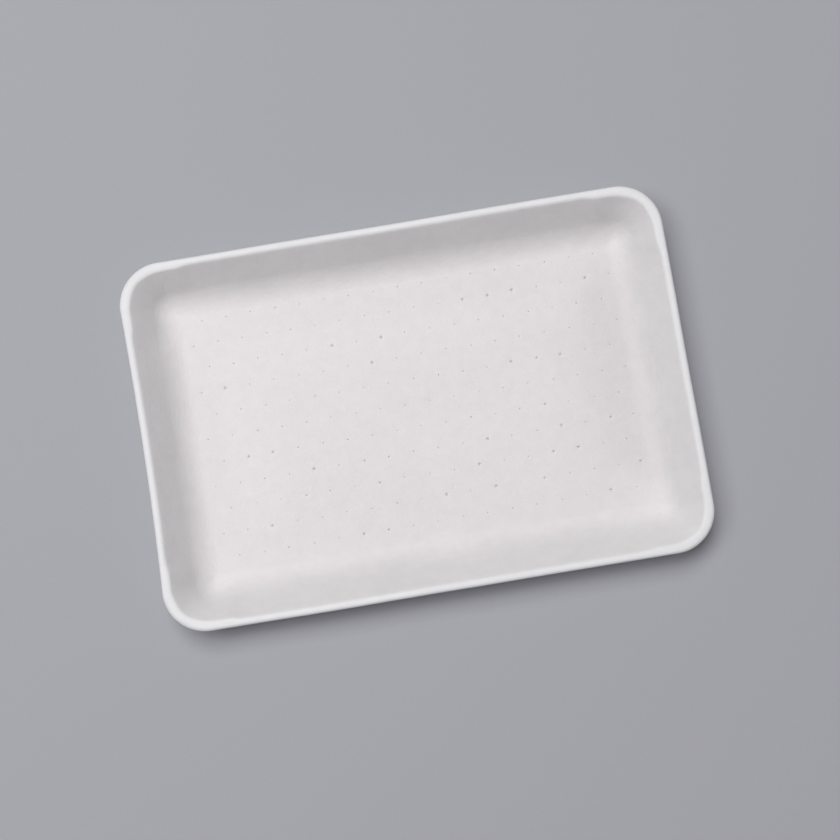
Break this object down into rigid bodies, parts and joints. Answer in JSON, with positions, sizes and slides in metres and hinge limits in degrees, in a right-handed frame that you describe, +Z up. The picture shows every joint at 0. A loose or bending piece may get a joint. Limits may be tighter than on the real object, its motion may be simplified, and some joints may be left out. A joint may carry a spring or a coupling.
{
  "type": "foam meat tray",
  "caption": "Shallow rectangular white foam tray with rounded corners, sloping walls, a rounded lip and a gently crowned floor with a staggered grid of pin holes, for packing fresh meat.",
  "frame": {"origin": "middle of the underside, on the plane that the foot ring stands on", "axes": "+X along the length, +Y across the width, +Z up out of the well"},
  "size_m": [0.21, 0.1416, 0.018],
  "materials": {
    "foam": "white expanded plastic foam with a satin skin"
  },
  "bodies": {
    "root": {"foam_tray": "foam"}
  },
  "joints": []
}
